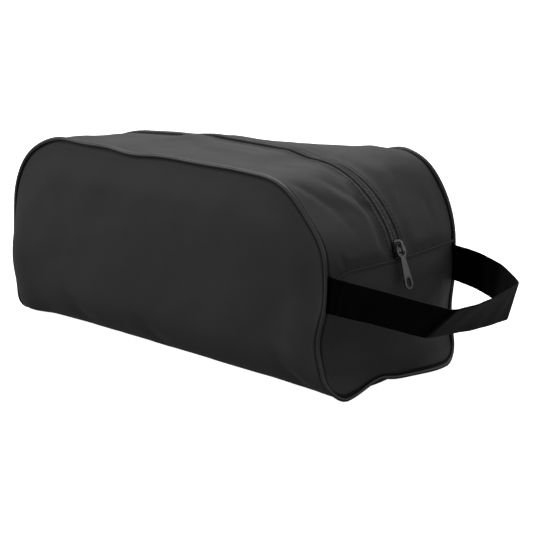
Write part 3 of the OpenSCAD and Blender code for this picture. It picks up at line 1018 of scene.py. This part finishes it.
def seam_shadow_threads():
    """The sewn line in the groove on each side of the piping, near black as a painted shadow of the
    groove.
    """
    ring = seam_line()
    over_edge = outward(ring) * [1, 0, 1]
    beside_edge = np.sign(ring[:, :1]) * [1, 0, 0]
    end_side = unit(np.where(ring[:, 2:] > SEAM_Z, over_edge, beside_edge))
    under = np.clip(low_turn(ring[:, 2]), 0, 1)
    body_side = np.stack([0 * under, np.sqrt(1 - under**2) * np.sign(ring[:, 1]), -under], -1)
    for name, along, level in (("piping_seam_shadow_end_side", body_side, end_side),
                               ("piping_seam_shadow_body_side", end_side, body_side)):
        path = drape(ring - THREAD_AWAY * along) - THREAD_SUNK * level
        path[:, 2] = np.maximum(path[:, 2], THREAD_R)
        obj = tube(name, path, level, round_section(THREAD_R, THREAD_R, 6), closed=True)
        finish_piece(obj, SEAM_SHADOW, "bag", "cloth")


def piping():
    """The piping's cloth cover and the cord inside it."""
    ring = seam_line()
    path = drape(ring)
    path[:, 2] = np.maximum(path[:, 2], PIPE_R + 0.1)
    obj = tube("piping", path, outward(ring), round_section(PIPE_R, PIPE_R, 14), closed=True)
    finish_piece(obj, PIPING, "bag", "piping", "piping_cover")
    section = round_section(CORD_R, CORD_R, 8)
    cord = tube("piping_cord_inside", path, outward(ring), section, closed=True)
    finish_piece(cord, CORD, "bag", "cord", "piping_cord")


# Sections of the two bindings, in millimetres: into the panel from the seam and inwards from the
# cloth, and for the ends across and through the tape.
BINDING_SECTION = ((2.2, 1.6), (9.5, 1.6), (10.2, 2.1), (9.5, 2.6), (2.2, 2.6), (1.5, 2.1))
END_BINDING_SECTION = (
    (-4.5, -0.5), (4.5, -0.5), (4.8, 0), (4.5, 0.5), (-4.5, 0.5), (-4.8, 0),
)


def seam_binding():
    """The binding tape over the raw edges, a flat strip inside the body panel along its seam."""
    ring = seam_line()
    turn = smooth(low_turn(ring[:, 2]))[:, None]
    face = unit((1 - turn) * np.sign(ring[:, 1:2]) * [0, 1, 0] + turn * [0, 0, -1])
    inward = np.cross(ahead_along(ring, closed=True), face)
    inward *= np.sign((inward * (MIDDLE - ring)).sum(1, keepdims=True))
    p = np.stack([drape(ring + inward * a - face * b) for a, b in BINDING_SECTION], 1)
    p[..., 2] = np.maximum(p[..., 2], CLOTH_T + 0.4)
    rows, cols = p.shape[:2]
    points = p.reshape(-1, 3)
    faces = tube_faces(rows, cols, closed=True)
    obj = make_mesh("seam_binding_tape", points, faces, uvs=points[:, [0, 2]])
    finish_piece(obj, BINDING, "bag", "binding", "seam_binding")


def end_bindings():
    """The tapes that bind the cross seams inside."""
    for side, name in ((1, "right"), (-1, "left")):
        y = np.linspace(8 - LINE_Y, LINE_Y - 8, 60)
        path = drape(end_form(y, 0.06 + 0 * y, side)) - np.array([side * 3.2, 0, 0])
        up = np.tile([side, 0, 0.0], (len(path), 1))
        obj = tube("end_binding_tape_" + name, path, up, END_BINDING_SECTION)
        finish_piece(obj, BINDING, "bag", "binding", "end_binding_" + name)


def cross_seams():
    """The folded lower edges of the top strips, lapped over the end panels."""
    for side, name in ((1, "right"), (-1, "left")):
        y = np.linspace(-LINE_Y + 1.5, LINE_Y - 1.5, 90)
        path = drape(end_form(y, 0 * y, side))
        up = np.tile([side, 0, 0.3], (len(path), 1))
        obj = tube("cross_seam_" + name, path, up, round_section(1.0, 0.75, 10))
        finish_piece(obj, CLOTH, "bag", "cloth")


# -------- zip

COIL_PITCH = 1.45
COIL_R = 0.52  # of the nylon that a coil is wound from
COIL_END = 3.0  # from the seam to the first turn
CORE_R = 0.4
CLIP_END = 1.4  # from the seam to a clip
CLIP_R = 1.0


def zip_path(w, r_off, y):
    """Points over the zip at a radius of r_off past the cloth's, at y across, draped."""
    x, z, nx, nz = zip_profile(w)
    return drape(np.stack([x + r_off * nx, y + 0 * x, z + r_off * nz], -1))


def zip_up(w):
    """The outward direction at places along the zip."""
    _, _, nx, nz = zip_profile(w)
    return np.stack([nx, 0 * nx, nz], -1)


def place_at(length):
    """w for a distance along the zip from the right-hand seam."""
    return np.interp(length, [0, CORNER_RUN, CORNER_RUN + STRAIGHT_RUN, ZIP_RUN], [0, 1, 2, 3])


def zip_tape(side, name):
    """A woven tape, which sinks under the folded edge of its top strip."""
    run = np.linspace(0, ZIP_RUN, 200)
    w = place_at(run)
    y = np.linspace(0.7, 15, 8)
    sink = 0.1 + 1.6 * smooth((y - 4.5) / 4)
    columns = [zip_path(w, SEAT - d, side * v) for v, d in zip(y, sink)]
    p = np.stack(columns, 1) + fall("top", w, side * y)
    uv = grid_of(run[:, None], y[None])
    obj = sheet("zip_tape_" + name + "_cloth", p, uv, side < 0, TAPE_T)
    finish_piece(obj, TAPE, "bag", "zip_tape", "zip_tape_" + name)


def zip_coil(side, name, shift):
    """A row of coil. Each turn is a short arch from the tape to the middle of the chain, and a cord
    runs through the turns."""
    base = SEAT + 0.45
    s = np.arange(COIL_END + shift * COIL_PITCH, ZIP_RUN - COIL_END, COIL_PITCH)
    w = place_at(s)
    outer = zip_path(w, base, side * 3.3)
    inner = zip_path(place_at(s + 0.35), base + 0.25, side * -0.25)
    obj = capsules("zip_coil_" + name + "_turns", outer, inner, COIL_R, zip_up(w) * 0.95)
    finish_piece(obj, COIL, "bag", "zip_coil", "zip_coil_" + name)
    w = place_at(np.linspace(COIL_END, ZIP_RUN - COIL_END, 220))
    path = zip_path(w, base + 0.25, side * 1.6)
    cord = tube("coil_core_" + name, path, zip_up(w), round_section(CORE_R, CORE_R, 6))
    finish_piece(cord, CORD, "bag", "zip_coil", "coil_cord_" + name)


def zip_clips(name, node, at, half, middles):
    """Clips across the chain, half a clip to each side of each middle."""
    w = place_at(np.array([at]))
    starts = [zip_path(w, SEAT + 0.9, y - half)[0] for y in middles]
    ends = [zip_path(w, SEAT + 0.9, y + half)[0] for y in middles]
    obj = capsules(name, starts, ends, CLIP_R, None, 10)
    finish_piece(obj, METAL, "bag", "zip_metal", node)


def zip_metal():
    """The slider and its pull are the CAD solids, with their sharp edges eased."""
    for node in ("slider_body", "slider_bridge", "pull_tab"):
        obj = frame["nodes"][node]
        obj.data.materials.clear()
        obj.data.materials.append(METAL)
        ease_edges(obj, 0.22).angle_limit = math.radians(40)


def ease_edges(obj, width):
    """Rounds an object's sharp edges. width is in millimetres."""
    ease = obj.modifiers.new("eased_edges", "BEVEL")
    ease.width = width * MM
    ease.segments = 2
    ease.limit_method = "ANGLE"
    return ease


# -------- strap

# The loop's two long edges, each from its front root round to its back root, as x, y and height.
# Both go round in step, so that a point and its partner face each other across the webbing.
STRAP_TOP = (
    (163, -70.2, 94.6), (177, -70.8, 93.6), (228, -71, 92.8), (266, -71.8, 92.2),
    (278, -71.8, 91.9), (281.6, -70.2, 91.7), (282.8, -65, 91.4), (280.8, -44, 90),
    (275.5, -18.8, 88.6), (269.2, 3, 87.4), (263.6, 20, 86.4), (260.4, 29, 86),
    (253, 36.5, 86.5), (230, 53, 88), (214, 60.8, 89), (196, 66.8, 90),
    (180, 69.3, 90.8), (163, 70.2, 91.6),
)
STRAP_LOW = (
    (163, -70.2, 66.8), (176, -70.8, 67), (212, -71, 67.6), (244, -71.6, 67.8),
    (254, -71.6, 68), (257.6, -70.4, 68), (258.6, -65, 67.4), (258.8, -48, 65.7),
    (257.6, -24, 62.6), (254.6, 4, 59.8), (250.6, 24, 57.8), (248.2, 33, 57),
    (242, 40.5, 57.6), (224, 54, 59.6), (210, 61.4, 61), (194, 67.2, 62.4),
    (178, 69.6, 63.6), (163, 70.2, 64.6),
)
STRAP_STEPS = 12
ROOT = 17  # how far from each end of the strap it crinkles most


def curve_through(points):
    """A smooth curve through points, with STRAP_STEPS steps between each two."""
    points = np.array(points, float)
    places = np.linspace(0, len(points) - 1, (len(points) - 1) * STRAP_STEPS + 1)
    return between(points[:, None, :], places)[:, 0]


def strap_crinkle(run, across):
    """How far the webbing ripples out of its plane. It crinkles most near its front root."""
    s = run[:, None] + 0 * across[None]
    near_root = bump(s, ROOT, 9) + 0.3 * bump(run[-1] - s, ROOT, 9)
    ripple = 0.7 * np.sin(s * 0.7 + 3 * across[None]) * near_root
    ripple += 0.6 * waves(s, across[None] * 28, 77, 60)
    return ripple * (smooth((s - 6) / 10) * smooth((run[-1] - 6 - s) / 10))


def strap():
    """The loop of webbing. Its two edges are drawn apart, so that it can lean and crease."""
    top, low = curve_through(STRAP_TOP), curve_through(STRAP_LOW)
    across = np.linspace(0, 1, 15)
    p = top[:, None] * (1 - across[None, :, None]) + low[:, None] * across[None, :, None]
    run = run_along((top + low) / 2)
    p = p + grid_normals(p) * strap_crinkle(run, across)[..., None]
    uv = grid_of(run[:, None], across[None] * STRAP_W)
    obj = sheet("carry_strap", p, uv, True, STRAP_T)
    obj.modifiers["thickness"].offset = 0
    ease_edges(obj, 0.3)
    bpy.context.view_layer.objects.active = obj
    for modifier in list(obj.modifiers):
        bpy.ops.object.modifier_apply(modifier=modifier.name)
    finish_piece(obj, WEBBING, None, "webbing", "strap_ends", "strap_loop")
    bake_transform(obj)


# -------- stage


def by_camera(tree, seen, lit):
    """A value that is seen to the camera and lit to every other ray."""
    path = add(tree, "ShaderNodeLightPath")
    return mix(tree, lit, seen, path.outputs["Is Camera Ray"], kind="FLOAT")


def pale_floor():
    """The camera sees an even white. Every other ray finds a grey that doesn't shine."""
    bpy.ops.mesh.primitive_plane_add(size=14, location=(0, 0, 0))
    floor = bpy.context.object
    floor.name = "floor"
    material, tree, inputs = new_material("pale_floor")
    feed(tree, inputs["Base Color"], by_camera(tree, 0.9, 0.35))
    feed(tree, inputs["Emission Strength"], by_camera(tree, 1.0, 0.0))
    inputs["Emission Color"].default_value = (1, 1, 1, 1)
    inputs["Roughness"].default_value = 0.9
    inputs["Specular IOR Level"].default_value = 0.0
    floor.data.materials.append(material)


def pale_room():
    """A room that is bright to look at but dim as a light, so that the softboxes shape the bag."""
    world = bpy.data.worlds.new("studio")
    bpy.context.scene.world = world
    world.use_nodes = True
    background = world.node_tree.nodes["Background"].inputs
    background["Color"].default_value = (1, 1, 1, 1)
    feed(world.node_tree, background["Strength"], by_camera(world.node_tree, 1.0, 0.42))
    bpy.context.scene.view_settings.view_transform = "Standard"


def softbox(name, place, size, power):
    """A rectangular light, in metres and watts, aimed at the bag."""
    data = bpy.data.lights.new(name, "AREA")
    data.shape = "RECTANGLE"
    data.size, data.size_y = size
    data.energy = power
    light = bpy.data.objects.new(name, data)
    light.location = place
    aim = Vector((0.04, 0, 0.08)) - Vector(place)
    light.rotation_euler = aim.to_track_quat("-Z", "Y").to_euler()
    bpy.context.scene.collection.objects.link(light)


def camera():
    """A long lens from the front right, a little above the bag."""
    azimuth, elevation, distance = math.radians(43.84), math.radians(14.76), 1.3888
    aim = Vector((0.0797, -0.0385, 0.0784))
    level = math.cos(elevation)
    away = Vector((math.sin(azimuth) * level, -math.cos(azimuth) * level, math.sin(elevation)))
    data = bpy.data.cameras.new("camera")
    data.lens = 126.3
    obj = bpy.data.objects.new("camera", data)
    obj.location = aim + away * distance
    obj.rotation_euler = (-away).to_track_quat("-Z", "Y").to_euler()
    bpy.context.scene.collection.objects.link(obj)
    bpy.context.scene.camera = obj


MOVES = simulate()
body_panel()
top_strip("top_strip_front", -1, "top_panel_front")
top_strip("top_strip_back", 1, "top_panel_back")
end_panel("end_cloth_right", 1, "end_panel_right", "right")
end_panel("end_cloth_left", -1, "end_panel_left", "left")
piping()
seam_shadow_threads()
seam_binding()
cross_seams()
end_bindings()
zip_tape(-1, "front")
zip_tape(1, "back")
zip_coil(-1, "front", 0.0)
zip_coil(1, "back", 0.5)
zip_clips("zip_top_clips", "zip_top_stops", CLIP_END, 1.2, (-1.9, 1.9))
zip_clips("zip_bottom_clip", "zip_bottom_stop", ZIP_RUN - CLIP_END, 3.0, (0.0,))
zip_metal()
strap()
pale_floor()
pale_room()
softbox("overhead", (-0.5, 0.5, 1.5), (1.6, 1.2), 16)
softbox("front_left", (-1.3, -1.5, 0.7), (0.9, 0.9), 8.5)
softbox("back_right", (1.4, 1.1, 0.8), (0.8, 0.9), 1.6)
camera()
